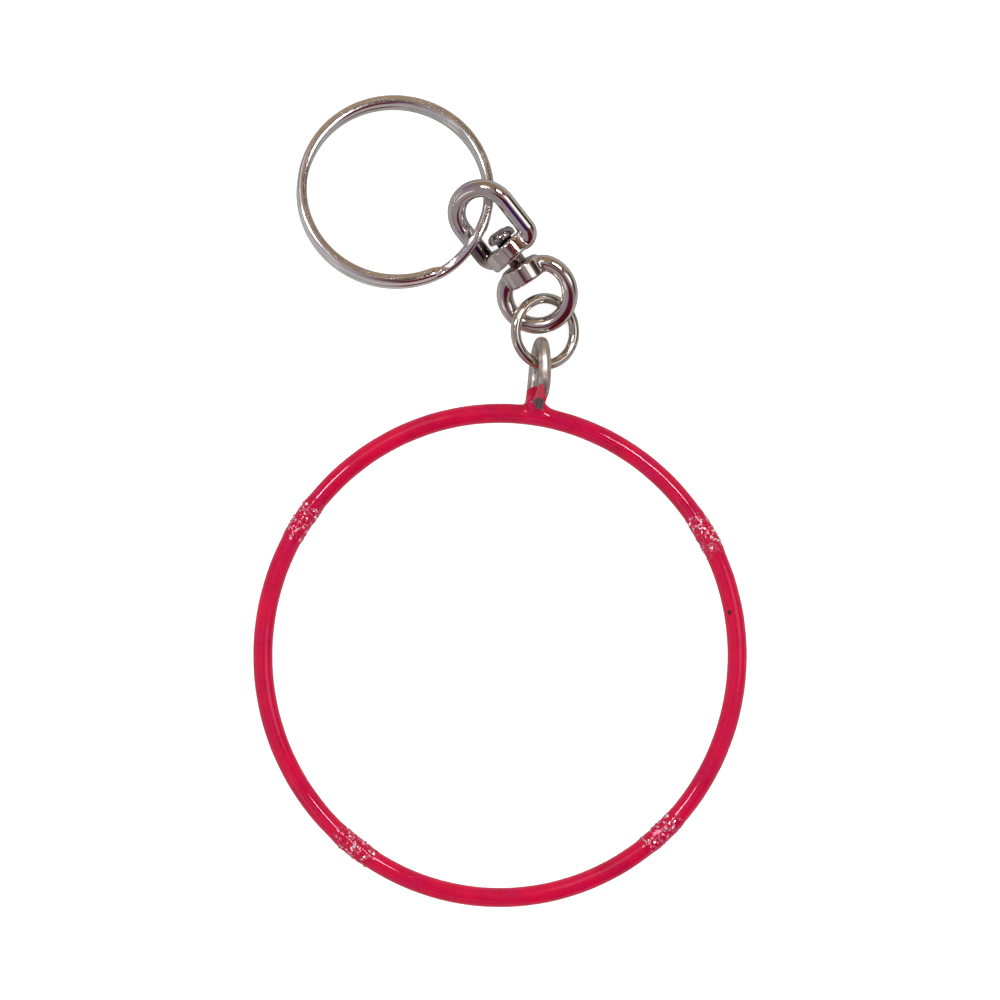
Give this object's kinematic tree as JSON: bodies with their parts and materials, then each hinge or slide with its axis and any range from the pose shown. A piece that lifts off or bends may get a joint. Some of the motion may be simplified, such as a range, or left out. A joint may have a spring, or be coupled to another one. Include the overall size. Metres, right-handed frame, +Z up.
{
  "type": "key chain with miniature rhythmic hoop",
  "caption": "Key chain whose charm is a miniature rhythmic-gymnastics hoop, hung by a wire eye, an oval link and a riveted swivel from a split ring.",
  "frame": {"origin": "on the surface the chain lies on, under the middle of the bounding box", "axes": "+Z up from the surface, +Y from the hoop towards the split ring, +X to the right of that"},
  "size_m": [0.0632, 0.104, 0.0099],
  "materials": {
    "crimson_enamel": "gloss enamel on steel wire",
    "glitter_varnish": "clear varnish full of silver and pink glitter flakes",
    "dull_steel": "dull bare steel wire",
    "nickel_plate": "bright nickel plate"
  },
  "bodies": {
    "hoop_charm": {"hoop_ring": "crimson_enamel", "glitter_band_1": "glitter_varnish", "glitter_band_2": "glitter_varnish", "glitter_band_3": "glitter_varnish", "glitter_band_4": "glitter_varnish", "hanging_eye": "dull_steel", "solder_fillet": "crimson_enamel"},
    "link": {"connecting_link": "nickel_plate"},
    "lower_swivel": {"lower_swivel_eye": "nickel_plate", "swivel_rivet": "nickel_plate"},
    "upper_swivel": {"upper_swivel_bow": "nickel_plate"},
    "key_ring": {"split_ring": "nickel_plate"}
  },
  "joints": [
    {"name": "link_swing", "type": "hinge", "parent": "hoop_charm", "child": "link", "pos_m": [0.00543, 0.01749, 0.00271], "axis": [0, 0, 1], "range_deg": [-25, 25]},
    {"name": "eye_run", "type": "hinge", "parent": "link", "child": "lower_swivel", "pos_m": [0.00474, 0.02659, 0.00326], "axis": [-0.0826, -0.1942, 0.9775], "range_deg": [-70, 30]},
    {"name": "bow_spin", "type": "hinge", "parent": "lower_swivel", "child": "upper_swivel", "pos_m": [0.00474, 0.02659, 0.00326], "axis": [-0.5304, 0.839, 0.1219], "continuous": true},
    {"name": "ring_flap", "type": "hinge", "parent": "upper_swivel", "child": "key_ring", "pos_m": [-0.01338, 0.03951, 0.00499], "axis": [0.9744, -0.225, 0], "range_deg": [-72, 0]}
  ]
}
